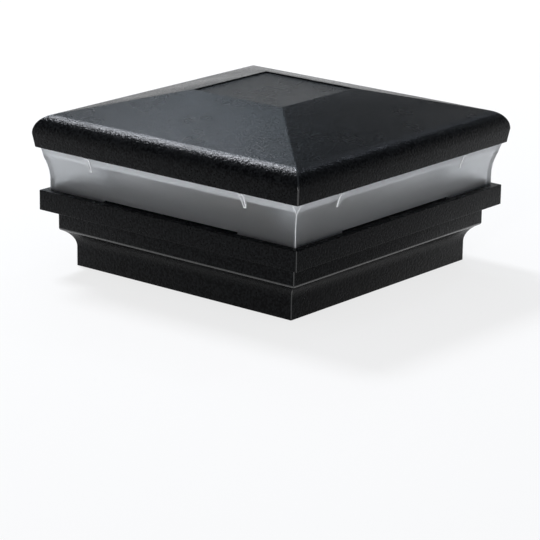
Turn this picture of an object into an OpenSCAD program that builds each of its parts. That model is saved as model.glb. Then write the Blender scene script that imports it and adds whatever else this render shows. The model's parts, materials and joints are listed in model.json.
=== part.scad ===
// Lighted cap for a square deck post: a stepped cast skirt, a flared frosted lens and a
// low pyramid cap with a bullnose edge. The cap and lens form a head that lifts off the
// skirt, so that the post screws and the light unit can be reached.
// Millimetres, +Z up, origin at the middle of the skirt's bottom rim.

/* [Post] */
// Outer side of the square post sleeve that the skirt slips over
sleeve_w = 127; // [115:0.5:150]
// Gap between sleeve and skirt on each side
sleeve_play = 0.8; // [0.4:0.1:1.5]
// Side of a bare wood post that the lugs under the deck centre on
bare_post_w = 88.9; // [80:0.1:95]
// Gap between bare post and lugs on each side
post_play = 0.5; // [0.3:0.1:1]

/* [Skirt casting] */
// Wall of the plain fascia
skirt_wall = 2.4; // [2:0.1:3.5]
// Height of the plain fascia
fascia_h = 9.5; // [6:0.5:14]
// How far the cove carries the skirt outwards
cove_out = 6.2; // [4:0.1:8]
// Height of the cove
cove_rise = 8.6; // [8:0.1:11]
// Height of the middle band
band_h = 10; // [8:0.5:13]
// How far the flange stands out from the middle band
flange_out = 6.4; // [5:0.1:8]
// Height of the flange
flange_h = 9.85; // [8:0.05:12]
// Thickness of the deck that sits on the post
deck_t = 3; // [2.5:0.5:4]
// How far the deck's underside lies below the flange's underside
deck_drop = 3.1; // [2.6:0.1:5]
// Thickness of the curb that stands up inside the lens
curb_t = 1.7; // [1.4:0.1:2.2]
// Height of the curb
curb_h = 3; // [2:0.5:5]
// Metal left under and outside the groove that lightens the middle band
core_wall = 2.4; // [2:0.1:3]
// Length of each arm of a post lug
lug_l = 14; // [8:1:20]
// Thickness of a post lug
lug_t = 3; // [2:0.5:4]
// Depth of a post lug
lug_h = 8; // [4:0.5:10]
// Distance between neighbouring post screws
post_screw_pitch = 64; // [56:1:68]
// Diameter of the post screw holes
post_screw_d = 5; // [4:0.5:6]
// Height of the raised pads round the screw holes
pad_h = 2; // [1:0.5:3]

/* [Lens] */
// Width of the ledge outside the lens foot
ledge_w = 3.7; // [3:0.1:5]
// Wall of the frosted lens
lens_t = 2.2; // [1.8:0.1:2.8]
// Gap between lens foot and curb
lens_gap = 0.3; // [0.2:0.1:0.6]
// Height of the upright foot of the lens
foot_h = 5; // [3:0.5:8]
// Height of the flared part of the lens
flare_rise = 16.1; // [14:0.1:20]
// How far the flare carries the lens outwards
flare_out = 4.6; // [3:0.1:6]
// Height above the foot at which the corner facets start
facet_start = 16; // [13:0.5:18]
// Width that each corner facet takes off a side at the top
facet_w = 3.1; // [2:0.1:4]
// Length of the weep notch under each side
notch_l = 83.5; // [40:0.5:100]
// Height of the weep notch
notch_h = 1.1; // [0.6:0.1:2]
// Distance of the snap nibs from the middle of a side
nib_at = 47.4; // [35:0.1:55]
// Height of a snap nib
nib_h = 3.8; // [2:0.1:5]
// Width of a snap nib at its top
nib_w = 2.6; // [1.5:0.1:4]
// How far a snap nib stands out
nib_out = 0.45; // [0.3:0.05:0.5]
// Wall of the spigot on top of the lens
spigot_t = 1.4; // [1.2:0.1:1.8]
// Thickness of the ledge that turns in from the spigot
ledge_t = 1.3; // [1:0.1:2]
// How far that ledge reaches in from the spigot
ledge_in = 3.5; // [2.5:0.1:5]

/* [Cap] */
// How far the cap's bottom edge stands out from the lens top
cap_overhang = 0.5; // [0.3:0.1:3]
// Height of the cap's drafted band
draft_h = 6.9; // [5:0.1:9]
// How far the drafted band leans out
draft_out = 1.08; // [0.5:0.02:1.6]
// Radius of the bullnose
nose_r = 9.2; // [7:0.1:11]
// Pitch of the roof in degrees
roof_pitch = 13.9; // [10:0.1:18]
// Side of the flat square on top
top_w = 55.2; // [40:0.1:80]
// Depth of the recess in that square
top_recess = 0.55; // [0.3:0.05:1]
// Wall of the cap
cap_wall = 3; // [2.5:0.1:3.5]
// Wall of the cap at its bottom edge
rim_wall = 2.4; // [2:0.1:3]
// Width of the landing inside the cap that the seal lies against
landing_w = 3.1; // [2.5:0.1:4]
// Thickness of the squeezed foam seal
seal_t = 1; // [0.6:0.1:2]
// Thickness of the ribs under the ridges
rib_t = 2.4; // [2:0.1:3]
// Height of those ribs below the roof
rib_h = 5; // [3:0.5:7]

/* [Head columns] */
// Distance of a column from the inside of the lens foot
column_inset = 19.4; // [16:0.2:24]
// Diameter of a column
column_d = 8; // [7:0.5:10]
// Radial clearance between column and bush
column_fit = 0.05; // [0.02:0.01:0.1]
// Diameter of the stud on top of a column
stud_d = 5; // [4:0.5:6]
// Length of that stud
stud_l = 8; // [6:0.5:8]
// Wall of the rubber bush
bush_t = 2; // [1.5:0.1:3]
// Depth of the bush in its cup
bush_h = 9; // [6:0.5:10]
// Thickness of the cup floor under the bush
cup_floor = 1; // [0.8:0.1:2]
// Wall of the cast cup
cup_wall = 2; // [1.6:0.1:3]

/* [Reflector tray] */
// Sheet thickness of the tray
tray_t = 0.8; // [0.6:0.1:1]
// Height of the lip that turns down behind the lens
lip_h = 4.4; // [3:0.1:5]
// Distance of the tray screws from the middle of a side
tray_screw_at = 47.4; // [35:0.1:50]
// Diameter of the tray screws
tray_screw_d = 3; // [2.5:0.5:3.5]
// Length of the tray screws in their bosses
tray_screw_l = 7; // [5:0.5:9]

/* [Light unit] */
// Outer side of the square light frame
frame_w = 52; // [48:0.5:54]
// Wall of the light frame
frame_t = 3; // [2.5:0.1:4]
// Height of the light frame
frame_h = 13; // [11.5:0.5:13.5]
// Corner radius of the light frame
frame_r = 3; // [2.4:0.1:4]
// Length of the standoffs under the light frame
standoff_l = 10; // [9:0.5:11]
// Distance of a standoff from the inner wall of the frame
standoff_in = 4.5; // [4:0.1:4.8]
// Length of a circuit board
board_l = 44; // [40:0.5:45]
// Height of a circuit board
board_h = 11; // [9:0.5:11.5]
// Thickness of the circuit boards
board_t = 1.2; // [1:0.1:1.6]
// Distance between neighbouring light-emitting packages
chip_pitch = 12; // [9:0.5:13]
// Screw diameter of the light unit
unit_screw_d = 3; // [2.5:0.5:3]
// Screw diameter of the circuit boards
board_screw_d = 2.5; // [2:0.1:2.5]

/* [Driver] */
// Width of the driver case
driver_w = 28; // [24:0.5:29]
// Length of the driver case
driver_l = 42; // [36:0.5:43]
// Height of the driver case without its lid
driver_h = 11.5; // [10:0.5:12]
// Wall of the driver case
driver_t = 1.5; // [1.2:0.1:2]
// Thickness of the driver lid
lid_t = 1.5; // [1:0.1:2]
// Distance between the two leads of a pair
lead_pitch = 8; // [7:0.5:9]
// Diameter of the leads
lead_d = 1.6; // [1.2:0.1:2]

/* [Supply entry] */
// Bore of the wire grommet
entry_d = 7; // [5:0.5:8]
// Wall of the wire grommet inside the deck
grommet_t = 2; // [1.5:0.1:2.5]
// Height of each flange of the wire grommet
grommet_flange = 1.4; // [1:0.1:2]
// Width of the terminal block
block_w = 18; // [16:0.5:22]
// Length of the terminal block
block_l = 12; // [10:0.5:12]
// Height of the terminal block
block_h = 10; // [9:0.5:12]

/* [Hidden] */
$fn = 96;
eps = 0.01;

// Heights of the skirt's steps
cove_z = fascia_h;
band_z = cove_z + cove_rise;
flange_z = band_z + band_h;
ledge_z = flange_z + flange_h;
deck_under = flange_z - deck_drop;
deck_top = deck_under + deck_t;

// Half widths of the skirt's steps, of the lens foot on its flange and of the curb inside it
socket_half = sleeve_w / 2 + sleeve_play;
skirt_half = socket_half + skirt_wall;
band_half = skirt_half + cove_out;
flange_half = band_half + flange_out;
foot_half = flange_half - ledge_w;
foot_inner = foot_half - lens_t;
curb_half = foot_inner - lens_gap;
tray_half = curb_half - curb_t;
core_outer = band_half - core_wall;
core_inner = socket_half + core_wall;
core_floor = band_z + core_wall;
cove_r = (cove_rise ^ 2 + cove_out ^ 2) / (2 * cove_out);

// Lens
flare_z = ledge_z + foot_h;
flare_r = (flare_rise ^ 2 + flare_out ^ 2) / (2 * flare_out);
lens_top = flare_z + flare_rise;
lens_half = foot_half + flare_out;

// Cap
cap_z = lens_top;
cap_half = lens_half + cap_overhang;
nose_z = cap_z + draft_h;
nose_half = cap_half + draft_out;
nose_c = nose_half - nose_r;
rim_inner = cap_half - rim_wall;
top_half = top_w / 2;
tangent_w = nose_c + nose_r * sin(roof_pitch);
tangent_z = nose_z + nose_r * cos(roof_pitch);
top_z = tangent_z + (tangent_w - top_half) * tan(roof_pitch);
roof_drop = cap_wall / cos(roof_pitch);
ceiling_z = top_z - top_recess - cap_wall;

// Lens spigot, tray and seal inside the cap
spigot_gap = 0.4;
spigot_outer = rim_inner - spigot_gap;
spigot_inner = spigot_outer - spigot_t;
tray_top = cap_z + 1.85;
tray_under = tray_top - tray_t;
spigot_top = tray_top + ledge_t;
landing_z = spigot_top + seal_t;
cavity_half = rim_inner - landing_w;
tray_rim = spigot_inner - 0.3;
ledge_inner = spigot_outer - spigot_t - ledge_in;
boss_r = tray_screw_d / 2 + 2.5;
tray_screw_row = ledge_inner - boss_r - 0.5;

// Columns
column_at = foot_inner - column_inset;
bush_r = column_d / 2 + bush_t;
cup_r = bush_r + cup_wall;
bush_z = deck_top + cup_floor;
cup_top = bush_z + bush_h;
bush_flange = 1;
column_foot = bush_z + 1;
column_top = tray_top + 5;
screw_gap = 0.1;

// Light unit
pad_top = deck_top + pad_h;
frame_z = pad_top + standoff_l;
frame_inner = frame_w / 2 - frame_t;
standoff_at = frame_inner - standoff_in;
board_face = frame_w / 2 + board_t;
board_z = frame_z + 1;
board_mid = board_z + board_h / 2;
board_screw_at = board_l / 2 - 3;
ear_t = 3;
ear_r = 4;
chip_w = 3.5;
chip_h = 2.8;
chip_t = 0.9;
frame_screw_bite = 5;
link_r = 0.6;
link_start = board_l / 2 - 2;
link_z = board_h / 2 - 3 * link_r;

// Driver and supply entry
driver_floor = deck_top;
driver_top = driver_floor + driver_h;
pcb_z = driver_floor + driver_t + 2;
pcb_t = 1.2;
lid_rim = 1.5;
driver_lug_t = 2;
driver_lug_w = 8;
block_seat = 3;
pole_w = 6;
deck_bite = deck_t - 1.4;
lead_r = lead_d / 2;
lead_z = pcb_z + pcb_t + lead_r + 0.05;
lug_reach = 6.5;
driver_screw_at = driver_l / 2 + lug_reach / 2;
block_gap = 1;
block_y = driver_l / 2 + lug_reach + block_gap + block_l / 2;
entry_y = (bare_post_w / 2 + post_play + sleeve_w / 2 - 4) / 2;
entry_r = entry_d / 2;
grommet_r = entry_r + grommet_t;
bead_r = grommet_r + 1.5;

// ---- shared shapes ----

// A body of square plan whose four sides all follow one profile, mitred at the corners.
// The profile lies in width and height, has no hollow and is symmetric about the axis.
module square_plan() {
  intersection() {
    rotate([90, 0, 0])
      linear_extrude(3 * sleeve_w, center = true)
        children();
    rotate([90, 0, 90])
      linear_extrude(3 * sleeve_w, center = true)
        children();
  }
}

// A rectangle of a profile, out to a half width on both sides of the axis
module slab(half, low, high) {
  translate([-half, low])
    square([2 * half, high - low]);
}

// A polygon of a profile from the points of its right half, read upwards
module profile(points) {
  last = len(points) - 1;
  polygon(concat(points, [for (i = [last : -1 : 0]) [-points[i][0], points[i][1]]]));
}

// A circle of a profile on both sides of the axis
module side_circles(at, z, r) {
  for (side = [-at, at])
    translate([side, z])
      circle(r, $fn = 360);
}

// A straight block of square plan
module block(half, low, high) {
  translate([-half, -half, low])
    cube([2 * half, 2 * half, high - low]);
}

// The same children on each of the four sides
module four_sides() {
  for (turn = [0 : 90 : 270])
    rotate([0, 0, turn])
      children();
}

// The same children in each of the four corners of a square
module four_corners(at) {
  for (x = [-at, at], y = [-at, at])
    translate([x, y, 0])
      children();
}

// A pan head screw that points down from its seat at z = 0
module pan_screw(d, reach) {
  head_r = d * 0.9;
  head_h = d * 0.6;
  difference() {
    union() {
      translate([0, 0, -reach])
        cylinder(r = d / 2, h = reach + eps);
      cylinder(r = head_r, h = head_h * 0.6);
      translate([0, 0, head_h * 0.6])
        cylinder(r1 = head_r, r2 = head_r * 0.7, h = head_h * 0.4);
    }
    for (turn = [0, 90])
      rotate([0, 0, turn])
        translate([-head_r * 0.6, -d * 0.09, head_h * 0.45])
          cube([head_r * 1.2, d * 0.18, head_h]);
  }
}

// ---- skirt ----

module skirt_outline() {
  slab(skirt_half, 0, band_z);
  difference() {
    slab(band_half, cove_z, band_z);
    side_circles(skirt_half + cove_r, cove_z, cove_r);
  }
  slab(band_half, band_z, flange_z);
  slab(flange_half, flange_z, ledge_z);
  slab(curb_half, ledge_z, ledge_z + curb_h);
}

// L-shaped lugs under the deck that centre the skirt on a bare post
module post_lugs() {
  inner = bare_post_w / 2 + post_play;
  for (turn = [0 : 90 : 270])
    rotate([0, 0, turn])
      translate([inner, inner, deck_under - lug_h])
        difference() {
          translate([lug_t - lug_l, lug_t - lug_l, 0])
            cube([lug_l, lug_l, lug_h + eps]);
          translate([-lug_l, -lug_l, -eps])
            cube([lug_l, lug_l, lug_h + 3 * eps]);
        }
}

// Cups for the column bushes, each tied to its corner by a rib
module bush_cups() {
  for (turn = [0 : 90 : 270])
    rotate([0, 0, turn])
      translate([column_at, column_at, 0]) {
        translate([0, 0, deck_top - eps])
          cylinder(r = cup_r, h = cup_top - deck_top + eps);
        rotate([0, 0, 45])
          translate([0, -rib_t / 2, deck_top - eps])
            cube([(tray_half - column_at) * sqrt(2) + rib_t, rib_t, (cup_top - deck_top) * 0.7]);
      }
}

module deck_pads() {
  translate([0, 0, deck_top - eps]) {
    four_corners(standoff_at)
      cylinder(r = unit_screw_d / 2 + 2.5, h = pad_h + eps);
    four_corners(post_screw_pitch / 2)
      cylinder(r = post_screw_d / 2 + 3, h = pad_h + eps);
    translate([0, entry_y, 0])
      cylinder(r = bead_r + 1.1, h = grommet_flange + eps);
  }
}

module skirt_holes() {
  translate([0, 0, deck_under - 1]) {
    four_corners(post_screw_pitch / 2)
      cylinder(d = post_screw_d, h = deck_t + pad_h + 2);
    translate([0, entry_y, 0]) {
      cylinder(r = bead_r + 0.1, h = grommet_flange + 1);
      cylinder(r = grommet_r, h = deck_t + grommet_flange + 2);
    }
  }
  four_corners(standoff_at)
    translate([0, 0, deck_under + 1])
      cylinder(r = unit_screw_d / 2 + screw_gap, h = deck_t + pad_h);
  four_corners(column_at)
    translate([0, 0, bush_z])
      cylinder(r = bush_r, h = bush_h + 1);
  for (y = [-driver_screw_at, driver_screw_at, block_y])
    translate([0, y, deck_under + 0.8])
      cylinder(r = unit_screw_d / 2 + screw_gap, h = deck_t);
}

module base_skirt() {
  color("#1c1d1f")
    difference() {
      square_plan()
        skirt_outline();
      difference() {
        block(socket_half, -1, deck_under);
        post_lugs();
      }
      difference() {
        block(tray_half, deck_top, ledge_z + curb_h + 1);
        bush_cups();
        deck_pads();
      }
      difference() {
        block(core_outer, core_floor, deck_top + eps);
        block(core_inner, core_floor - 1, deck_top + 1);
      }
      skirt_holes();
    }
}

// ---- supply entry ----

// Its lower flange lies in a recess, so that a post can bear on the whole deck
module wire_grommet() {
  color("#26262a")
    translate([0, entry_y, deck_under])
      rotate_extrude()
        difference() {
          union() {
            square([grommet_r, deck_t + grommet_flange]);
            for (z = [0, deck_t + grommet_flange])
              translate([0, z])
                square([bead_r, grommet_flange]);
          }
          translate([0, -1])
            square([entry_r, deck_t + 2 * grommet_flange + 2]);
        }
}

// The terminal block's screw places: one in and one out on each pole
module block_wells() {
  for (x = [-lead_pitch / 2, lead_pitch / 2], y = [-block_l / 4, block_l / 4])
    translate([x, block_y + y, 0])
      children();
}

module terminal_block() {
  color("#e6e3d8")
    difference() {
      union() {
        translate([-block_w / 2, block_y - block_l / 2, deck_top])
          cube([block_w, block_l, block_h * 0.7]);
        for (x = [-lead_pitch / 2, lead_pitch / 2])
          translate([x - pole_w / 2, block_y - block_l / 2, deck_top])
            cube([pole_w, block_l, block_h]);
      }
      for (x = [-lead_pitch / 2, lead_pitch / 2])
        translate([x, block_y, lead_z])
          rotate([90, 0, 0])
            cylinder(r = lead_r + 0.5, h = block_l + 2, center = true);
      block_wells()
        translate([0, 0, lead_z + lead_r])
          cylinder(r = 1.7, h = block_h);
      translate([0, block_y, deck_top - 1])
        cylinder(r = unit_screw_d / 2 + screw_gap, h = block_h + 2);
      translate([0, block_y, deck_top + block_seat])
        cylinder(r = unit_screw_d * 0.9 + 0.2, h = block_h);
    }
}

module terminal_screws() {
  color("silver")
    block_wells()
      translate([0, 0, lead_z + lead_r])
        difference() {
          cylinder(r = 1.6, h = 2.4);
          translate([-2, -0.3, 1.6])
            cube([4, 0.6, 1]);
        }
}

module block_screw() {
  color("silver")
    translate([0, block_y, deck_top + block_seat])
      pan_screw(unit_screw_d, block_seat + deck_bite);
}

// ---- driver ----

module driver_case() {
  color("#3b3f45")
    difference() {
      union() {
        translate([-driver_w / 2, -driver_l / 2, driver_floor])
          cube([driver_w, driver_l, driver_h]);
        translate([-driver_lug_w / 2, -driver_l / 2 - lug_reach, driver_floor])
          cube([driver_lug_w, driver_l + 2 * lug_reach, driver_lug_t]);
      }
      difference() {
        translate([driver_t - driver_w / 2, driver_t - driver_l / 2, driver_floor + driver_t])
          cube([driver_w - 2 * driver_t, driver_l - 2 * driver_t, driver_h]);
        for (x = [-1, 1], y = [-1, 1])
          translate([x * (driver_w / 2 - 4), y * (driver_l / 2 - 4), driver_floor])
            cylinder(r = 2, h = pcb_z - driver_floor);
      }
      for (x = [-lead_pitch / 2, lead_pitch / 2])
        translate([x, 0, lead_z])
          rotate([90, 0, 0])
            cylinder(r = lead_r + 0.2, h = driver_l + 2, center = true);
      for (y = [-driver_screw_at, driver_screw_at])
        translate([0, y, driver_floor - 1])
          cylinder(r = unit_screw_d / 2 + screw_gap, h = driver_lug_t + 2);
    }
}

module driver_board() {
  room_w = driver_w - 2 * driver_t - 0.6;
  room_l = driver_l - 2 * driver_t - 0.6;
  room_h = driver_top - lid_rim - 0.3 - pcb_z - pcb_t;
  can_r = room_w / 12;
  color("#2c6b3f") {
    translate([-room_w / 2, -room_l / 2, pcb_z])
      cube([room_w, room_l, pcb_t]);
    translate([0, 0, pcb_z + pcb_t]) {
      translate([0, 2 * can_r, 0])
        cylinder(r = 2 * can_r, h = room_h * 0.8);
      translate([-2 * can_r, -4.5 * can_r, 0])
        cube([4 * can_r, 2.5 * can_r, room_h * 0.3]);
      for (x = [-4.5, 4.5])
        translate([x * can_r, -2 * can_r, 0])
          cylinder(r = can_r, h = room_h);
    }
  }
}

module driver_lid() {
  color("#44484e") {
    translate([-driver_w / 2, -driver_l / 2, driver_top])
      cube([driver_w, driver_l, lid_t]);
    difference() {
      translate([driver_t + 0.2 - driver_w / 2, driver_t + 0.2 - driver_l / 2, driver_top - lid_rim])
        cube([driver_w - 2 * driver_t - 0.4, driver_l - 2 * driver_t - 0.4, lid_rim + eps]);
      translate([2 * driver_t - driver_w / 2, 2 * driver_t - driver_l / 2, driver_top - lid_rim - 1])
        cube([driver_w - 4 * driver_t, driver_l - 4 * driver_t, lid_rim + 1]);
    }
  }
}

module driver_screws() {
  color("silver")
    for (y = [-driver_screw_at, driver_screw_at])
      translate([0, y, driver_floor + driver_lug_t])
        pan_screw(unit_screw_d, driver_lug_t + deck_bite);
}

// ---- light unit ----

module frame_standoffs() {
  color("#b9a15a")
    four_corners(standoff_at)
      difference() {
        union() {
          translate([0, 0, pad_top])
            cylinder(r = unit_screw_d / 2 + 1.6, h = standoff_l, $fn = 6);
          translate([0, 0, deck_under + 1.2])
            cylinder(r = unit_screw_d / 2, h = pad_top - deck_under - 1.2 + eps);
        }
        translate([0, 0, frame_z - frame_screw_bite - 1])
          cylinder(r = unit_screw_d / 2 + screw_gap, h = frame_screw_bite + 2);
      }
}

module rounded_square(half, r) {
  square([2 * half, 2 * (half - r)], center = true);
  square([2 * (half - r), 2 * half], center = true);
  for (x = [r - half, half - r], y = [r - half, half - r])
    translate([x, y])
      circle(r);
}

module led_frame() {
  color("#a9adb1")
    difference() {
      translate([0, 0, frame_z])
        union() {
          linear_extrude(frame_h)
            difference() {
              rounded_square(frame_w / 2, frame_r);
              square(2 * frame_inner, center = true);
            }
          for (x = [-1, 1], y = [-1, 1])
            translate([x * standoff_at, y * standoff_at, 0]) {
              cylinder(r = ear_r, h = ear_t);
              translate([x > 0 ? 0 : -standoff_in - frame_t / 2, -ear_r, 0])
                cube([standoff_in + frame_t / 2, 2 * ear_r, ear_t]);
            }
        }
      four_corners(standoff_at)
        translate([0, 0, frame_z - 1])
          cylinder(r = unit_screw_d / 2 + screw_gap, h = ear_t + 2);
      four_sides()
        for (x = [-board_screw_at, board_screw_at])
          translate([x, -frame_w / 2 - 1, board_mid])
            rotate([-90, 0, 0])
              cylinder(r = board_screw_d / 2 + screw_gap, h = frame_t + 2);
    }
}

module frame_screws() {
  color("silver")
    four_corners(standoff_at)
      translate([0, 0, frame_z + ear_t])
        pan_screw(unit_screw_d, ear_t + frame_screw_bite);
}

// One circuit board on the front face of the light frame
module led_board() {
  color("#eceade")
    difference() {
      translate([-board_l / 2, -board_face, board_z])
        cube([board_l, board_t, board_h]);
      for (x = [-board_screw_at, board_screw_at])
        translate([x, -board_face - 1, board_mid])
          rotate([-90, 0, 0])
            cylinder(r = board_screw_d / 2 + screw_gap, h = board_t + 2);
    }
}

module led_board_front() {
  led_board();
}

module led_board_right() {
  rotate([0, 0, 90])
    led_board();
}

module led_board_back() {
  rotate([0, 0, 180])
    led_board();
}

module led_board_left() {
  rotate([0, 0, 270])
    led_board();
}

module led_packages() {
  color("#e9d36a")
    four_sides()
      for (x = [-chip_pitch, 0, chip_pitch])
        translate([x - chip_w / 2, -board_face - chip_t, board_mid - chip_h / 2])
          cube([chip_w, chip_t, chip_h]);
}

module board_screws() {
  color("silver")
    four_sides()
      for (x = [-board_screw_at, board_screw_at])
        translate([x, -board_face, board_mid])
          rotate([90, 0, 0])
            pan_screw(board_screw_d, board_t + 2.6);
}

// Pairs of bare links that carry the current round three corners of the frame
module board_links() {
  bend_c = frame_w / 2 - frame_r;
  bend_r = board_face + link_r + 0.1 - bend_c;
  color("#c9c9c9")
    for (turn = [0, 90, 180], z = [board_mid - link_z, board_mid + link_z])
      rotate([0, 0, turn])
        translate([bend_c, -bend_c, z]) {
          rotate([0, 0, -90])
            rotate_extrude(angle = 90)
              translate([bend_r, 0])
                circle(link_r, $fn = 24);
          translate([0, -bend_r, 0])
            rotate([0, -90, 0])
              cylinder(r = link_r, h = bend_c - link_start, $fn = 24);
          translate([bend_r, 0, 0])
            rotate([-90, 0, 0])
              cylinder(r = link_r, h = bend_c - link_start, $fn = 24);
        }
}

// ---- leads ----

// A lead from the driver board through the rear wall into the terminal block
module input_lead(side) {
  translate([side * lead_pitch / 2, 0, lead_z])
    rotate([-90, 0, 0])
      translate([0, 0, driver_l / 2 - 6])
        cylinder(r = lead_r, h = block_y - driver_l / 2 + 6);
}

module input_lead_positive() {
  color("#b3261e")
    input_lead(1);
}

module input_lead_negative() {
  color("#1a1a1a")
    input_lead(-1);
}

// A lead from the driver board through the front wall and up to the front circuit board
module output_lead(side) {
  bend = 2.4;
  rise_y = board_face + lead_r + 0.1;
  start_y = driver_l / 2 - 6;
  translate([side * lead_pitch / 2, 0, 0]) {
    translate([0, -start_y, lead_z])
      rotate([90, 0, 0])
        cylinder(r = lead_r, h = rise_y - bend - start_y);
    translate([0, bend - rise_y, lead_z + bend])
      rotate([90, 0, -90])
        rotate([0, 0, -90])
          rotate_extrude(angle = 90)
            translate([bend, 0])
              circle(lead_r);
    translate([0, -rise_y, lead_z + bend])
      cylinder(r = lead_r, h = board_z + 2.4 - lead_z - bend);
  }
}

module output_lead_positive() {
  color("#b3261e")
    output_lead(1);
}

module output_lead_negative() {
  color("#1a1a1a")
    output_lead(-1);
}

// ---- lens ----

// Outline of the lens on its outside; grow makes it larger all round the flare
module lens_outline(grow = 0) {
  slab(foot_half + grow, ledge_z, flare_z);
  difference() {
    slab(lens_half + grow, flare_z, lens_top);
    side_circles(foot_half + flare_r, flare_z, flare_r - grow);
  }
}

// Hollow of the lens, one wall inside the flare, then straight up inside the spigot
module lens_hollow() {
  slab(foot_inner, ledge_z - 1, flare_z + eps);
  difference() {
    slab(spigot_inner, flare_z, tray_top);
    side_circles(foot_half + flare_r, flare_z, flare_r + lens_t);
  }
  slab(ledge_inner, tray_top - eps, spigot_top + 1);
}

// Four leaning planes on the diagonals that take the corners off the top of the flare.
// Just below their start they turn upright, clear of the corner, so that the foot stays whole.
module corner_facets() {
  start_z = ledge_z + facet_start;
  start_cut = sqrt(2) * (foot_half + flare_r - sqrt(flare_r ^ 2 - (start_z - flare_z) ^ 2));
  top_cut = sqrt(2) * (lens_half - facet_w / 2);
  turn_z = start_z - 1.5;
  turn_cut = start_cut - (top_cut - start_cut) * (start_z - turn_z) / (lens_top - start_z);
  rotate([0, 0, 45])
    square_plan()
      profile([[turn_cut, ledge_z - 1], [turn_cut, turn_z], [top_cut, lens_top]]);
}

module weep_notches() {
  four_sides()
    translate([-notch_l / 2, -foot_half - 1, ledge_z - 1])
      cube([notch_l, lens_t + 2, notch_h + 1]);
}

// Tapered nibs that snap the lens into the cap
module snap_nibs() {
  four_sides()
    for (x = [-nib_at, nib_at])
      intersection() {
        translate([x, 0, 0])
          rotate([90, 0, 0])
            linear_extrude(lens_half + 2)
              polygon([
                [-nib_w / 2, lens_top], [nib_w / 2, lens_top],
                [nib_w / 5, lens_top - nib_h], [-nib_w / 5, lens_top - nib_h]]);
        rotate([90, 0, 90])
          linear_extrude(3 * nib_at, center = true)
            difference() {
              lens_outline(nib_out);
              slab(foot_half, ledge_z - 1, lens_top + 1);
            }
      }
}

module lens() {
  color("#c9ced2", 0.75)
    difference() {
      union() {
        intersection() {
          square_plan()
            lens_outline();
          corner_facets();
        }
        block(spigot_outer, lens_top - 1.2, spigot_top);
        snap_nibs();
      }
      square_plan()
        lens_hollow();
      weep_notches();
    }
}

// ---- cap ----

module cap_outline() {
  profile([
    [cap_half, cap_z], [nose_half, nose_z], [tangent_w, nose_z],
    [tangent_w, tangent_z], [top_half, top_z]]);
  intersection() {
    side_circles(nose_c, nose_z, nose_r);
    slab(nose_half + 1, nose_z, top_z);
  }
}

// Height of the roof at a half width, a given depth under its surface
function roof_z(half, depth) = top_z - depth - (half - top_half) * tan(roof_pitch);

module cap_hollow() {
  flat_half = top_half + (top_z - roof_drop - ceiling_z) / tan(roof_pitch);
  slab(rim_inner, cap_z - 1, landing_z);
  profile([
    [cavity_half, cap_z], [cavity_half, roof_z(cavity_half, roof_drop)],
    [flat_half, ceiling_z]]);
}

// Places of the tray screws, two on each side
module tray_screw_places() {
  four_sides()
    for (x = [-tray_screw_at, tray_screw_at])
      translate([x, -tray_screw_row, 0])
        children();
}

// Cast bosses and diagonal ribs that hang from the roof
module cap_bosses() {
  four_corners(column_at)
    translate([0, 0, column_top])
      cylinder(r = stud_d / 2 + 3, h = top_z - column_top);
  tray_screw_places()
    translate([0, 0, tray_top])
      cylinder(r = boss_r, h = top_z - tray_top);
  difference() {
    for (turn = [45, 135])
      rotate([0, 0, turn])
        translate([-cap_half * sqrt(2), -rib_t / 2, cap_z])
          cube([2 * cap_half * sqrt(2), rib_t, top_z - cap_z]);
    square_plan()
      profile([
        [cap_half, cap_z - 1], [cap_half, roof_z(cap_half, roof_drop + rib_h)],
        [top_half, roof_z(top_half, roof_drop + rib_h)]]);
  }
}

module cap() {
  color("#1a1b1d")
    difference() {
      square_plan()
        cap_outline();
      translate([0, 0, top_z + 1 - top_recess])
        cube([top_w - 1, top_w - 1, 2], center = true);
      difference() {
        square_plan()
          cap_hollow();
        cap_bosses();
      }
      four_corners(column_at)
        translate([0, 0, column_top - 1])
          cylinder(r = stud_d / 2 + screw_gap, h = stud_l + 1.4);
      tray_screw_places()
        translate([0, 0, tray_top - 1])
          cylinder(r = tray_screw_d / 2 + screw_gap, h = tray_screw_l + 1.4);
    }
}

module lens_seal() {
  color("#2d2d2f")
    difference() {
      block(spigot_outer, spigot_top, landing_z);
      block(cavity_half + 0.2, spigot_top - 1, landing_z + 1);
    }
}

// ---- reflector tray and columns ----

module reflector_tray() {
  color("white")
    difference() {
      block(tray_rim, tray_top - lip_h, tray_top);
      block(tray_rim - tray_t, tray_top - lip_h - 1, tray_under);
      four_corners(column_at)
        cylinder(r = column_d / 2 + 0.5, h = top_z);
      tray_screw_places()
        cylinder(r = tray_screw_d / 2 + screw_gap, h = top_z);
    }
}

module tray_screws() {
  color("silver")
    tray_screw_places()
      translate([0, 0, tray_under])
        rotate([180, 0, 0])
          pan_screw(tray_screw_d, tray_screw_l + tray_t);
}

module head_columns() {
  color("#b5b8bb")
    four_corners(column_at) {
      translate([0, 0, column_foot])
        cylinder(r1 = column_d / 2 - 1, r2 = column_d / 2, h = 1);
      translate([0, 0, column_foot + 1])
        cylinder(d = column_d, h = column_top - column_foot - 1);
      translate([0, 0, column_top - eps])
        cylinder(d = stud_d, h = stud_l);
    }
}

module column_bushes() {
  color("#2a2a2c")
    four_corners(column_at)
      difference() {
        union() {
          translate([0, 0, bush_z])
            cylinder(r = bush_r, h = bush_h);
          translate([0, 0, cup_top])
            cylinder(r = bush_r + cup_wall * 0.7, h = bush_flange);
        }
        translate([0, 0, bush_z - 1])
          cylinder(r = column_d / 2 + column_fit, h = bush_h + bush_flange + 2);
      }
}

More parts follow.
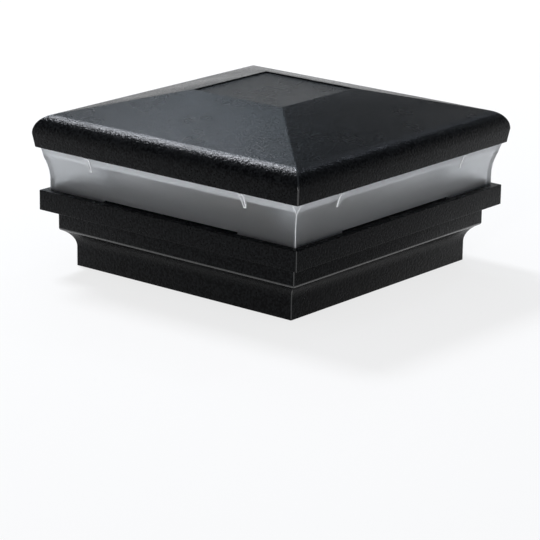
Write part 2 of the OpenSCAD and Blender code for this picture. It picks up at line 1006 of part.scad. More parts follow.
base_skirt();
wire_grommet();
column_bushes();
frame_standoffs();
led_frame();
frame_screws();
led_board_front();
led_board_right();
led_board_back();
led_board_left();
led_packages();
board_screws();
board_links();
driver_case();
driver_board();
driver_lid();
driver_screws();
terminal_block();
terminal_screws();
block_screw();
input_lead_positive();
input_lead_negative();
output_lead_positive();
output_lead_negative();
cap();
lens();
lens_seal();
reflector_tray();
tray_screws();
head_columns();
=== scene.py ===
import math

import bmesh
import bpy
from mathutils import Matrix, Vector
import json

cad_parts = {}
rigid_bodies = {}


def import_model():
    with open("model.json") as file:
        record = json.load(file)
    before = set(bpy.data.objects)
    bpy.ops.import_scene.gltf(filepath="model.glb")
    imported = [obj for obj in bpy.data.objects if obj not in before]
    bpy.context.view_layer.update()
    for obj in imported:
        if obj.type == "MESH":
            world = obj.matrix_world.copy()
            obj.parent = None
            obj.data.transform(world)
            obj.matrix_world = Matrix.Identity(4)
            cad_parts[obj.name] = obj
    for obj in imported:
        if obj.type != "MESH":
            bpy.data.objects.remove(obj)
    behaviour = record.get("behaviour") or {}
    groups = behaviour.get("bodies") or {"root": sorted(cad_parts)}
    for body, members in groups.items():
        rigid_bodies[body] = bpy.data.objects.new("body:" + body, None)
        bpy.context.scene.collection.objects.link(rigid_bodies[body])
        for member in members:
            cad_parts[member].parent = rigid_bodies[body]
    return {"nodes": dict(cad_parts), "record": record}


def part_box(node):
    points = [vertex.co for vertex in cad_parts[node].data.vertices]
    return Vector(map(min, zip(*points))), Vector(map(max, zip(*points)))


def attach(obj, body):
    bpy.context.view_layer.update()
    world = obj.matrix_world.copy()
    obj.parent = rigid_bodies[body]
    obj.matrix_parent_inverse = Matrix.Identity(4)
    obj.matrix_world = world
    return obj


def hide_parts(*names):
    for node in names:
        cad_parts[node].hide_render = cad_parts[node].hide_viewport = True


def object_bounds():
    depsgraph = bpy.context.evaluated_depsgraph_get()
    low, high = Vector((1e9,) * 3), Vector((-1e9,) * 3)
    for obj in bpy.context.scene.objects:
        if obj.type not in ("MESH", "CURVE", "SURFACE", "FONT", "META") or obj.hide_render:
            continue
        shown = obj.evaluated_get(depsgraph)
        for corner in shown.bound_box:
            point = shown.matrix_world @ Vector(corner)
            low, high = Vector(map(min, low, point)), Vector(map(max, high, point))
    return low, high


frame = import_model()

cadLow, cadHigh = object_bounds()
mm = 0.001
meshing = {
    "weld": 0.001,          # mm within which points are merged
    "flat": 0.3,            # degrees between faces that count as one plane
    "onDiagonal": 0.005,    # mm off a corner's diagonal that counts as on it
    "corner": 1.0,          # mm off it up to which a face belongs to the corner
    "hair": 0.01,           # mm that counts as nothing
    "smooth": 32,           # degrees up to which faces are shaded as one
}
noiseSpan = {"From Min": 0.3, "From Max": 0.7}      # where nearly all of a noise pattern lies
print("frame loaded:", len(frame["nodes"]), "nodes")


def srgb(hexColour):
    # "#rrggbb" as a linear RGBA colour
    parts = [int(hexColour[i:i + 2], 16) / 255 for i in (1, 3, 5)]
    return tuple(p / 12.92 if p <= 0.04045 else ((p + 0.055) / 1.055) ** 2.4 for p in parts) + (1.0,)


def addNode(tree, kind, settings=None, inputs=None, stops=()):
    # one node; an input is a value, or the socket that it is linked from, and stops are a
    # Color Ramp's, as (place, colour)
    node = tree.nodes.new(kind)
    for name, value in (settings or {}).items():
        setattr(node, name, value)
    for key, value in (inputs or {}).items():
        if isinstance(value, bpy.types.NodeSocket):
            tree.links.new(value, node.inputs[key])
        else:
            node.inputs[key].default_value = value
    for i, (place, colour) in enumerate(stops):
        node.color_ramp.elements[i].position = place
        node.color_ramp.elements[i].color = colour
    return node


def newMaterial(name):
    # a material with nothing in it but its output
    material = bpy.data.materials.new(name)
    material.use_nodes = True
    tree = material.node_tree
    tree.nodes.clear()
    return material, tree, tree.nodes.new("ShaderNodeOutputMaterial")


def only(*objects):
    # selects just these and makes the first one active
    bpy.ops.object.select_all(action="DESELECT")
    for item in objects:
        item.select_set(True)
    bpy.context.view_layer.objects.active = objects[0]


def mergedCopy(nodeName, pieceName, materials):
    # closed, editable copy of a CAD node, with doubles merged and its flat faces cut up afresh
    only(frame["nodes"][nodeName])
    bpy.ops.object.duplicate()
    piece = bpy.context.view_layer.objects.active
    bpy.ops.object.parent_clear(type="CLEAR_KEEP_TRANSFORM")
    piece.name = piece.data.name = pieceName
    for key in [k for k in piece.keys() if k.startswith("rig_")]:
        del piece[key]
    bpy.ops.mesh.customdata_custom_splitnormals_clear()
    piece.data.materials.clear()
    for material in materials:
        piece.data.materials.append(material)
    bpy.ops.object.mode_set(mode="EDIT")
    bpy.ops.mesh.select_all(action="SELECT")
    bpy.ops.mesh.remove_doubles(threshold=meshing["weld"] * mm)
    bpy.ops.mesh.dissolve_limited(angle_limit=math.radians(meshing["flat"]))
    bpy.ops.mesh.quads_convert_to_tris(quad_method="BEAUTY", ngon_method="BEAUTY")
    bpy.ops.object.mode_set(mode="OBJECT")
    return piece


def pick(piece, kind, wanted):
    # opens a piece in edit mode with just the edges or faces selected for which wanted is true
    only(piece)
    bpy.ops.object.mode_set(mode="EDIT")
    bpy.ops.mesh.select_mode(type=kind)
    bpy.ops.mesh.select_all(action="DESELECT")
    mesh = bmesh.from_edit_mesh(piece.data)
    mesh.normal_update()
    for part in mesh.edges if kind == "EDGE" else mesh.faces:
        if wanted(part):
            part.select_set(True)
    bmesh.update_edit_mesh(piece.data)


def bevelEdges(piece, wanted, width, segments=3, index=1):
    # rounds convex edges, and gives the rounding one of the piece's materials
    pick(piece, "EDGE", lambda edge: edge.is_convex and wanted(edge))
    bpy.ops.mesh.bevel(offset=width * mm, segments=segments, profile=0.5, affect="EDGES", material=index)
    bpy.ops.object.mode_set(mode="OBJECT")


def markSharp(piece, wanted):
    # keeps edges sharp in the shading
    pick(piece, "EDGE", wanted)
    bpy.ops.mesh.mark_sharp()
    bpy.ops.object.mode_set(mode="OBJECT")


def paintFaces(piece, wanted, index):
    # gives one of the piece's materials to faces
    pick(piece, "FACE", wanted)
    piece.active_material_index = index
    bpy.ops.object.material_slot_assign()
    bpy.ops.object.mode_set(mode="OBJECT")


def reach(co):
    # half width of the square on which a point lies
    return max(abs(co.x), abs(co.y))


def offDiagonal(co):
    # how far a point lies off its corner's diagonal
    return abs(abs(co.x) - abs(co.y))


def onMitre(edge):
    # true for an edge that runs along one corner's diagonal
    a, b = (vert.co for vert in edge.verts)
    return (max(offDiagonal(a), offDiagonal(b)) < meshing["onDiagonal"] * mm
            and a.x * b.x > 0 and a.y * b.y > 0)


def spanZ(edge):
    # lowest and highest point of an edge
    return sorted(vert.co.z for vert in edge.verts)


def isLevel(edge, slack):
    # true for an edge that climbs less than slack mm
    low, high = spanZ(edge)
    return high - low < slack * mm


def looksOut(edge):
    # true if both faces at an edge look away from the post's axis, or straight up or down
    middle = (edge.verts[0].co + edge.verts[1].co) / 2
    return all(face.normal.x * middle.x + face.normal.y * middle.y > -1e-6 for face in edge.link_faces)


def outward(face):
    # how far a face looks away from the post's axis: 1 is straight out, 0 along the side
    middle = face.calc_center_median()
    axis = "y" if abs(middle.y) > abs(middle.x) else "x"
    return getattr(face.normal, axis) * math.copysign(1, getattr(middle, axis))


def roundedSide(face):
    # true for the rounding of a long edge, away from the corners
    return face.material_index == 1 and offDiagonal(face.calc_center_median()) > meshing["corner"] * mm


cameraSetting = {
    "turn": 39.29,         # degrees round the object, from the front
    "down": 16.53,         # degrees below the horizon that it looks
    "roll": -0.80,         # degrees that the picture leans
    "lens": 185.9,         # mm on a 36 mm sensor
    "distance": 1.3575,    # m from the lens to the middle of the skirt's rim, along the view
    "right": 0.00058,      # m that the rim's middle lies right of the picture's middle
    "up": 0.00369,         # and above it
}


def makeCamera(setting):
    turn, down, roll = (math.radians(setting[k]) for k in ("turn", "down", "roll"))
    back = Vector((math.sin(turn) * math.cos(down), -math.cos(turn) * math.cos(down), math.sin(down)))
    level = Vector((math.cos(turn), math.sin(turn), 0))
    upright = back.cross(level)
    right = level * math.cos(roll) - upright * math.sin(roll)
    up = level * math.sin(roll) + upright * math.cos(roll)
    place = back * setting["distance"] - right * setting["right"] - up * setting["up"]
    axes = Matrix((right, up, back)).transposed()
    bpy.ops.object.camera_add(location=place, rotation=axes.to_euler())
    camera = bpy.context.object
    camera.name = "photoCamera"
    camera.data.sensor_width = 36
    camera.data.lens = setting["lens"]
    camera.data.clip_start = 0.05
    camera.data.clip_end = 50
    bpy.context.scene.camera = camera


makeCamera(cameraSetting)
bpy.context.scene.view_settings.view_transform = "Standard"
print("camera placed")


studio = {
    "floorSize": 8.0,                # m
    "floorColour": "#f4f4f2",
    "floorLift": 0.75,               # share of plain white in what camera and gloss see of the floor
    "backdrop": "#ffffff",
    "ceiling": "#656d74",            # what gloss sees above the backdrop
    "backdropTop": 0.05,             # upward share of a direction at which the backdrop ends
    "ceilingFoot": 0.34,             # and at which the ceiling starts
    "fillColour": "#f3f6ff",
    "fill": 0.42,                    # strength of the world's light on the object
}
softboxes = [
    # name, azimuth (90 is along +Y) and elevation in degrees, distance, size, radiance, colour
    ("keyPanel", 161, 48, 1.6, (0.42, 0.26), 62.0, "#f4f7ff"),
    ("skyPanel", 138, 33, 2.2, (0.7, 0.5), 4.6, "#dff0ff"),
    ("frontLamp", -70, 11, 1.8, (0.22, 0.22), 52.0, "#ffffff"),
    ("rimLamp", 96, 42, 1.8, (0.12, 0.12), 30.0, "#e6eeff"),
]


def seenBackdrop(tree):
    # 1 for the rays that see the backdrop: camera, gloss and transmission
    path = addNode(tree, "ShaderNodeLightPath").outputs
    glossy = addNode(tree, "ShaderNodeMath", {"operation": "MAXIMUM"}, {
        0: path["Is Camera Ray"], 1: path["Is Glossy Ray"]})
    every = addNode(tree, "ShaderNodeMath", {"operation": "MAXIMUM"}, {
        0: glossy.outputs[0], 1: path["Is Transmission Ray"]})
    return every.outputs[0]


def makeWorld():
    world = bpy.data.worlds.new("studioRoom")
    world.use_nodes = True
    bpy.context.scene.world = world
    tree = world.node_tree
    tree.nodes.clear()
    coords = addNode(tree, "ShaderNodeTexCoord")
    axes = addNode(tree, "ShaderNodeSeparateXYZ", inputs={"Vector": coords.outputs["Generated"]})
    height = addNode(tree, "ShaderNodeValToRGB", inputs={"Fac": axes.outputs["Z"]}, stops=[
        (studio["backdropTop"], srgb(studio["backdrop"])),
        (studio["ceilingFoot"], srgb(studio["ceiling"]))])
    seen = addNode(tree, "ShaderNodeBackground", inputs={"Color": height.outputs["Color"], "Strength": 1.0})
    light = addNode(tree, "ShaderNodeBackground", inputs={
        "Color": srgb(studio["fillColour"]), "Strength": studio["fill"]})
    mix = addNode(tree, "ShaderNodeMixShader", inputs={
        0: seenBackdrop(tree), 1: light.outputs[0], 2: seen.outputs[0]})
    addNode(tree, "ShaderNodeOutputWorld", inputs={"Surface": mix.outputs[0]})


def makeFloor():
    bpy.ops.mesh.primitive_plane_add(size=studio["floorSize"], location=(0, 0, 0))
    floor = bpy.context.object
    floor.name = "studioFloor"
    material, tree, out = newMaterial("paleStudioFloor")
    matte = addNode(tree, "ShaderNodeBsdfDiffuse", inputs={"Color": srgb(studio["floorColour"])})
    white = addNode(tree, "ShaderNodeEmission", inputs={"Color": srgb(studio["backdrop"]), "Strength": 1.0})
    share = addNode(tree, "ShaderNodeMath", {"operation": "MULTIPLY"}, {
        0: seenBackdrop(tree), 1: studio["floorLift"]})
    mix = addNode(tree, "ShaderNodeMixShader", inputs={
        0: share.outputs[0], 1: matte.outputs[0], 2: white.outputs[0]})
    tree.links.new(mix.outputs[0], out.inputs["Surface"])
    floor.data.materials.append(material)


def makeSoftbox(name, azimuth, elevation, distance, size, radiance, colour):
    around, above = math.radians(azimuth), math.radians(elevation)
    level = math.cos(above)
    towards = Vector((math.cos(around) * level, math.sin(around) * level, math.sin(above)))
    middle = Vector((0, 0, (cadLow.z + cadHigh.z) / 2))
    bpy.ops.object.light_add(type="AREA", location=middle + towards * distance,
                             rotation=towards.to_track_quat("Z", "Y").to_euler())
    lamp = bpy.context.object
    lamp.name = name
    lamp.data.shape = "RECTANGLE"
    lamp.data.size, lamp.data.size_y = size
    lamp.data.energy = radiance * math.pi * size[0] * size[1]
    lamp.data.color = srgb(colour)[:3]


makeWorld()
makeFloor()
for row in softboxes:
    makeSoftbox(*row)
print("studio built")


powderCoats = {
    # colours in the grain's hollows and on its tops, painted darker and lighter as painted shade and sheen
    # of the grain, roughness, specular level, mm of relief
    "blackPowderCoat": (("#050506", "#171819"), 0.25, 0.05, 0.26),
    "rubbedPowderCoat": (("#101112", "#1c1d1e"), 0.18, 0.65, 0.09),
    "handledPowderCoat": (("#050506", "#171819"), 0.22, 0.1, 0.26),
}
powderGrain = {
    "pebble": 1.1,              # mm across one grain of the texture
    "fine": 0.25,               # share of a grain a third as large
    "cloud": 24,                # mm across the cloudiness in the gloss
    "cloudGloss": (-0.04, 0.05),
    # the colour is painted darker in the grain's hollows and lighter on its tops, as painted shade and
    # sheen of the grain
    "hollow": 0.4,              # of the pattern's range
    "top": 0.62,
}


def makePowderCoat(name, colours, roughness, specular, relief):
    # Black polyester powder baked on cast aluminium: it flows into a fine pebbled skin that
    # breaks up a highlight, with a faint cloudiness in its gloss. Its colour is painted darker in
    # the grain's hollows and lighter on its tops, as painted shade and sheen of the grain. On sharp
    # outer edges the powder draws thin and is rubbed, so that these show as a finer, brighter line,
    # and the cap's shoulder, by which it is lifted, is a little glossier than the rest.
    material, tree, out = newMaterial(name)
    place = addNode(tree, "ShaderNodeTexCoord").outputs["Object"]
    pebbles = addNode(tree, "ShaderNodeTexNoise", {"noise_dimensions": "3D"}, {
        "Vector": place, "Scale": 1 / (powderGrain["pebble"] * mm), "Detail": 1.5, "Roughness": 0.55})
    fine = addNode(tree, "ShaderNodeTexNoise", {"noise_dimensions": "3D"}, {
        "Vector": place, "Scale": 3 / (powderGrain["pebble"] * mm), "Detail": 1.0})
    cloud = addNode(tree, "ShaderNodeTexNoise", {"noise_dimensions": "3D"}, {
        "Vector": place, "Scale": 1 / (powderGrain["cloud"] * mm), "Detail": 3.0})
    gloss = addNode(tree, "ShaderNodeMapRange", inputs=noiseSpan | {
        "Value": cloud.outputs["Fac"], "To Min": roughness + powderGrain["cloudGloss"][0],
        "To Max": roughness + powderGrain["cloudGloss"][1]})
    small = addNode(tree, "ShaderNodeMath", {"operation": "MULTIPLY"}, {
        0: fine.outputs["Fac"], 1: powderGrain["fine"]})
    skin = addNode(tree, "ShaderNodeMath", {"operation": "ADD"}, {
        0: pebbles.outputs["Fac"], 1: small.outputs[0]})
    bump = addNode(tree, "ShaderNodeBump", inputs={
        "Height": skin.outputs[0], "Strength": 1.0, "Distance": relief * mm})
    # painted shade and sheen: the grain's hollows take the darker colour and its tops the lighter one,
    # following the pattern that raises the relief
    shade = addNode(tree, "ShaderNodeValToRGB", inputs={"Fac": pebbles.outputs["Fac"]}, stops=[
        (powderGrain["hollow"], srgb(colours[0])), (powderGrain["top"], srgb(colours[1]))])
    shader = addNode(tree, "ShaderNodeBsdfPrincipled", inputs={
        "Base Color": shade.outputs["Color"], "Roughness": gloss.outputs["Result"],
        "Specular IOR Level": specular, "Normal": bump.outputs["Normal"]})
    tree.links.new(shader.outputs[0], out.inputs["Surface"])
    return material


polycarbonate = {
    "colour": "#eceef0",
    "outside": 0.34,        # roughness of the satin outer face
    "inside": 0.5,          # and of the blasted inner one
    "streaky": 0.03,        # that the roughness varies each way
    "haze": 0.03,           # share of light that the frosting scatters instead of passing
    "bandHaze": 0.34,       # the same in the band under the cap
    "bandFrom": 55.3,       # mm from the post's end of the skirt up to that band
    "bandBlur": 0.45,       # mm either side over which it starts
    "drawLines": 1.6,       # mm between the faint upright lines that the tool left
    "drawLength": 0.03,     # share of the pattern's pace that is left upwards
    "drawRelief": 0.004,    # mm
    "ior": 1.36,
    # painted highlight: white polycarbonate on the lens's corner lines and the catches' edges stands in for
    # the glints on them
    "paintedGlint": "#ffffff",
    "paintedGlintHaze": 0.92,
    "paintedGlintGloss": (0.15, 0.35),
    "paintedGlintMarks": 1.5,   # mm
}


def makeFrostedLens(name, roughness):
    # Polycarbonate moulded in a tool that is satin outside and sand-blasted inside, and drawn
    # straight out of it: it passes light but blurs what is behind, with faint upright lines.
    # Its rim, which the cap grips, is hazier and shows as a paler band.
    material, tree, out = newMaterial(name)
    place = addNode(tree, "ShaderNodeTexCoord").outputs["Object"]
    upright = addNode(tree, "ShaderNodeMapping", inputs={
        "Vector": place, "Scale": (1, 1, polycarbonate["drawLength"])})
    lines = addNode(tree, "ShaderNodeTexNoise", {"noise_dimensions": "3D"}, {
        "Vector": upright.outputs["Vector"], "Scale": 1 / (polycarbonate["drawLines"] * mm),
        "Detail": 1.0})
    frost = addNode(tree, "ShaderNodeMapRange", inputs=noiseSpan | {
        "Value": lines.outputs["Fac"], "To Min": roughness - polycarbonate["streaky"],
        "To Max": roughness + polycarbonate["streaky"]})
    axes = addNode(tree, "ShaderNodeSeparateXYZ", inputs={"Vector": place})
    through = addNode(tree, "ShaderNodeMapRange", inputs={
        "Value": axes.outputs["Z"],
        "From Min": (polycarbonate["bandFrom"] - polycarbonate["bandBlur"]) * mm,
        "From Max": (polycarbonate["bandFrom"] + polycarbonate["bandBlur"]) * mm,
        "To Min": 1 - polycarbonate["haze"], "To Max": 1 - polycarbonate["bandHaze"]})
    relief = addNode(tree, "ShaderNodeBump", inputs={
        "Height": lines.outputs["Fac"], "Strength": 0.5,
        "Distance": polycarbonate["drawRelief"] * mm})
    shader = addNode(tree, "ShaderNodeBsdfPrincipled", inputs={
        "Base Color": srgb(polycarbonate["colour"]), "Roughness": frost.outputs["Result"],
        "Transmission Weight": through.outputs["Result"], "IOR": polycarbonate["ior"],
        "Normal": relief.outputs["Normal"]})
    tree.links.new(shader.outputs[0], out.inputs["Surface"])
    return material


def makePaintedGlintLens():
    # The same polycarbonate made white on its corner lines and on the edges of the catches, as a painted
    # highlight that stands in for the glints on those edges: it scatters most of the light that reaches it.
    material, tree, out = newMaterial("paintedGlintPolycarbonate")
    place = addNode(tree, "ShaderNodeTexCoord").outputs["Object"]
    marks = addNode(tree, "ShaderNodeTexNoise", {"noise_dimensions": "3D"}, {
        "Vector": place, "Scale": 1 / (polycarbonate["paintedGlintMarks"] * mm), "Detail": 2.0})
    gloss = addNode(tree, "ShaderNodeMapRange", inputs={
        "Value": marks.outputs["Fac"], "To Min": polycarbonate["paintedGlintGloss"][0],
        "To Max": polycarbonate["paintedGlintGloss"][1]})
    shader = addNode(tree, "ShaderNodeBsdfPrincipled", inputs={
        "Base Color": srgb(polycarbonate["paintedGlint"]), "Roughness": gloss.outputs["Result"],
        "Transmission Weight": 1 - polycarbonate["paintedGlintHaze"], "IOR": polycarbonate["ior"]})
    tree.links.new(shader.outputs[0], out.inputs["Surface"])
    return material


fittingFinishes = {
    # slot: name, dark and light colour, grain in mm along each axis, roughness, metallic, mm of relief
    # moulded rubber: dull black, faintly bloomed grey
    "rubber": ("mouldedRubber", "#1c1c1d", "#2a2a2b", (0.7, 0.7, 0.7), (0.5, 0.68), 0, 0.03),
    # closed-cell foam: dark, soft and full of small dents
    "foam_rubber": ("closedCellFoam", "#232325", "#39393b", (0.6, 0.6, 0.6), (0.8, 0.95), 0, 0.12),
    # brass hexagon bar: bright, with the draw lines along it
    "brass_spacer": ("drawnBrass", "#b98f41", "#d9b567", (0.25, 0.25, 6.0), (0.22, 0.38), 1, 0.01),
    # extruded aluminium: soft silver with die lines along the tube
    "extruded_aluminium": (
        "extrudedAluminium", "#b9bcc0", "#d6d8db", (0.3, 0.3, 12.0), (0.28, 0.42), 1, 0.015),
    # green solder mask on glass cloth: glossy, with the cloth just showing
    "green_circuit_board": ("greenSolderMask", "#17552b", "#237a3f", (0.8, 3.0, 0.8), (0.22, 0.4), 0, 0.02),
    # copper wire dipped in solder: bright and slightly lumpy
    "tinned_wire": ("tinnedCopperWire", "#c4c4c2", "#e2e2e0", (0.5, 0.5, 0.5), (0.2, 0.35), 1, 0.02),
    # zinc plating: pale metal with a light haze
    "plated_screw": ("zincPlatedSteel", "#b4b7bb", "#d2d4d6", (0.5, 0.5, 0.5), (0.2, 0.4), 1, 0.008),
    # ABS moulded in a spark-eroded tool: dark grey, evenly matt
    "moulded_case": ("sparkTexturedAbs", "#2d3034", "#3b3e43", (0.4, 0.4, 0.4), (0.48, 0.62), 0, 0.05),
    # moulded nylon: ivory, waxy, a little uneven in colour
    "ivory_plastic": ("mouldedNylon", "#d8d2bb", "#ebe6d4", (2.5, 2.5, 2.5), (0.34, 0.48), 0, 0.01),
    # fired white enamel: glossy, with a slow ripple
    "white_enamelled_sheet": (
        "whiteEnamelledSteel", "#e9e9e6", "#f4f4f2", (3.0, 3.0, 3.0), (0.16, 0.28), 0, 0.05),
    # extruded soft vinyl over wire: half-gloss, drawn along its length
    "lead_red": ("redVinylInsulation", "#a01d16", "#c22a20", (1.2, 1.2, 1.2), (0.3, 0.45), 0, 0.01),
    "lead_black": ("blackVinylInsulation", "#141415", "#202022", (1.2, 1.2, 1.2), (0.3, 0.45), 0, 0.01),
}


def makeFitting(name, dark, light, grain, gloss, metallic, relief):
    # one pattern of the given grain shades colour, gloss and relief
    material, tree, out = newMaterial(name)
    coords = addNode(tree, "ShaderNodeTexCoord")
    place = addNode(tree, "ShaderNodeMapping", inputs={
        "Vector": coords.outputs["Object"], "Scale": [1 / (size * mm) for size in grain]})
    pattern = addNode(tree, "ShaderNodeTexNoise", {"noise_dimensions": "3D"}, {
        "Vector": place.outputs["Vector"], "Scale": 1.0, "Detail": 3.0})
    shade = addNode(tree, "ShaderNodeValToRGB", inputs={"Fac": pattern.outputs["Fac"]}, stops=[
        (0.35, srgb(dark)), (0.65, srgb(light))])
    sheen = addNode(tree, "ShaderNodeMapRange", inputs=noiseSpan | {
        "Value": pattern.outputs["Fac"], "To Min": gloss[0], "To Max": gloss[1]})
    bump = addNode(tree, "ShaderNodeBump", inputs={
        "Height": pattern.outputs["Fac"], "Strength": 1.0, "Distance": relief * mm})
    shader = addNode(tree, "ShaderNodeBsdfPrincipled", inputs={
        "Base Color": shade.outputs["Color"], "Roughness": sheen.outputs["Result"],
        "Metallic": metallic, "Normal": bump.outputs["Normal"]})
    tree.links.new(shader.outputs[0], out.inputs["Surface"])
    return material


lightBoard = {
    "mask": "#eceae2",
    "overTrack": "#f6f5f0",
    "track": 4.5,           # mm between the copper tracks under the mask
    "gap": 0.35,            # mm of bare core between them
    "relief": 0.05,         # mm that the tracks stand up
    "stain": 5,             # mm across the unevenness of the gloss
    "gloss": (0.25, 0.45),
}


def makeLightBoard():
    # White solder mask over wide copper tracks on an aluminium core: the tracks stand up a
    # little and look cleaner than the narrow gaps between them.
    material, tree, out = newMaterial("whiteSolderMask")
    place = addNode(tree, "ShaderNodeTexCoord").outputs["Object"]
    tracks = addNode(tree, "ShaderNodeTexBrick", {"offset": 0.5, "offset_frequency": 2}, {
        "Vector": place, "Color1": srgb(lightBoard["overTrack"]),
        "Color2": srgb(lightBoard["overTrack"]), "Mortar": srgb(lightBoard["mask"]), "Scale": 1.0,
        "Mortar Size": lightBoard["gap"] * mm, "Mortar Smooth": 0.3,
        "Brick Width": lightBoard["track"] * 2 * mm, "Row Height": lightBoard["track"] * mm})
    relief = addNode(tree, "ShaderNodeBump", {"invert": True}, {
        "Height": tracks.outputs["Fac"], "Strength": 1.0, "Distance": lightBoard["relief"] * mm})
    stain = addNode(tree, "ShaderNodeTexNoise", {"noise_dimensions": "3D"}, {
        "Vector": place, "Scale": 1 / (lightBoard["stain"] * mm), "Detail": 3.0})
    sheen = addNode(tree, "ShaderNodeMapRange", inputs={
        "Value": stain.outputs["Fac"], "To Min": lightBoard["gloss"][0],
        "To Max": lightBoard["gloss"][1]})
    shader = addNode(tree, "ShaderNodeBsdfPrincipled", inputs={
        "Base Color": tracks.outputs["Color"], "Roughness": sheen.outputs["Result"],
        "Normal": relief.outputs["Normal"]})
    tree.links.new(shader.outputs[0], out.inputs["Surface"])
    return material


coat, thinCoat, shoulderCoat = (makePowderCoat(name, *values) for name, values in powderCoats.items())
satin = makeFrostedLens("satinPolycarbonate", polycarbonate["outside"])
frosted = makeFrostedLens("frostedPolycarbonate", polycarbonate["inside"])
paintedGlint = makePaintedGlintLens()
finishes = {slot: makeFitting(*values) for slot, values in fittingFinishes.items()}
finishes["white_circuit_board"] = makeLightBoard()
# white nylon moulded round a metal leadframe: clean and even
lightHousing = makeFitting(
    "whitePackageNylon", "#e6e5e0", "#f2f1ec", (0.5, 0.5, 0.5), (0.3, 0.4), 0, 0.005)
# silicone gel filled with yellow phosphor powder: faintly grainy
phosphor = makeFitting(
    "yellowPhosphorGel", "#e2b33c", "#f3d468", (0.25, 0.25, 0.25), (0.2, 0.4), 0, 0.03)
print("materials made")


def finish(piece, body, nodeName):
    only(piece)
    bpy.ops.object.shade_smooth_by_angle(angle=math.radians(meshing["smooth"]))
    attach(piece, body)
    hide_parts(nodeName)


capForm = {
    "corner": 0.55,         # mm of rounding on the corners below the roof, and on the rim
    "ridge": 0.5,           # mm on the roof's ridges
    "roofFoot": 74.8,       # mm up to where the ridges start
    "fold": 0.1,            # radians that a corner turns at least
    "rimFold": 1.0,         # and the rim
    "shoulder": 72,         # mm from the post's axis to the shoulder
    "shoulderTilt": (0.66, 0.968),      # how far its faces look up
}


def makeCap():
    low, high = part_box("cap")
    cap = mergedCopy("cap", "castCap", (coat, thinCoat, shoulderCoat))
    bottom = low.z + meshing["hair"] * mm
    roofFoot = capForm["roofFoot"] * mm

    def mitred(edge):
        return onMitre(edge) and looksOut(edge) and edge.calc_face_angle(0) > capForm["fold"]

    def onRim(edge):
        return (spanZ(edge)[1] < bottom and looksOut(edge)
                and edge.calc_face_angle(0) > capForm["rimFold"])

    # the corners and the rim go in one bevel, so that it can close the points where they meet
    bevelEdges(cap, lambda e: (mitred(e) and spanZ(e)[0] < roofFoot) or onRim(e), capForm["corner"])
    paintFaces(cap, roundedSide, 0)
    bevelEdges(cap, lambda e: mitred(e) and spanZ(e)[0] > roofFoot, capForm["ridge"], index=0)
    leastTilt, mostTilt = capForm["shoulderTilt"]
    paintFaces(cap, lambda f: f.material_index == 0 and leastTilt < f.normal.z < mostTilt
               and reach(f.calc_center_median()) > capForm["shoulder"] * mm, 2)
    finish(cap, "head", "cap")
    # the crease round the cap where the band meets the bullnose
    widest = high.x - 2 * meshing["hair"] * mm
    markSharp(cap, lambda e: isLevel(e, meshing["hair"]) and min(reach(v.co) for v in e.verts) > widest)


skirtForm = {
    "mitre": 0.3,           # mm of rounding on the corners and the long outer edges
    "bandFoot": 0.85,       # mm on the edge that overhangs the cove
    "bandFootHeight": 18.1, # mm up to that edge
    "near": 0.1,            # mm from that height up to which an edge counts as it
    "outside": 66,          # mm from the post's axis beyond which an edge is an outer one
    "fold": 0.5,            # radians that an edge turns at least
    "level": 0.05,          # mm that a long edge may climb
}


def makeSkirt():
    skirt = mergedCopy("base_skirt", "castSkirt", (coat, thinCoat))
    bandFoot = skirtForm["bandFootHeight"] * mm

    def isOuter(edge):
        return (looksOut(edge) and edge.calc_face_angle(0) > skirtForm["fold"]
                and min(reach(vert.co) for vert in edge.verts) > skirtForm["outside"] * mm)

    def isLong(edge):
        return isOuter(edge) and isLevel(edge, skirtForm["level"])

    def atBandFoot(edge):
        return abs(edge.verts[0].co.z - bandFoot) < skirtForm["near"] * mm

    bevelEdges(skirt, lambda e: (isOuter(e) and onMitre(e)) or (isLong(e) and not atBandFoot(e)),
               skirtForm["mitre"])
    paintFaces(skirt, roundedSide, 0)
    bevelEdges(skirt, lambda e: isLong(e) and atBandFoot(e), skirtForm["bandFoot"])
    finish(skirt, "skirt", "base_skirt")


catch = {
    "at": 47.4,         # mm from the middle of a side to a catch
    "foot": 51.9,       # mm up to its lower end
    "top": 58.95,       # and to its top, under the cap
    "footWidth": 1.4,   # mm
    "topWidth": 2.8,
    "out": 0.48,        # mm that it stands out from the flare
    "rooted": 0.7,      # mm that it reaches into the wall
    "paintedGlint": 0.5,    # mm of white painted-highlight edge round its face
    "steps": 6,         # that its curve is made in
    "flareRadius": 30.47,
    "flareFoot": 42.95, # mm up to where the flare starts
    "footHalf": 75.6,   # mm from the post's axis to the lens's upright foot
    "faceLooks": -0.7,  # y of a normal below which it belongs to the bar's outer face
    "sortFrom": (50, -70, 20),      # mm, a point to which no two of its parts are equally near
}


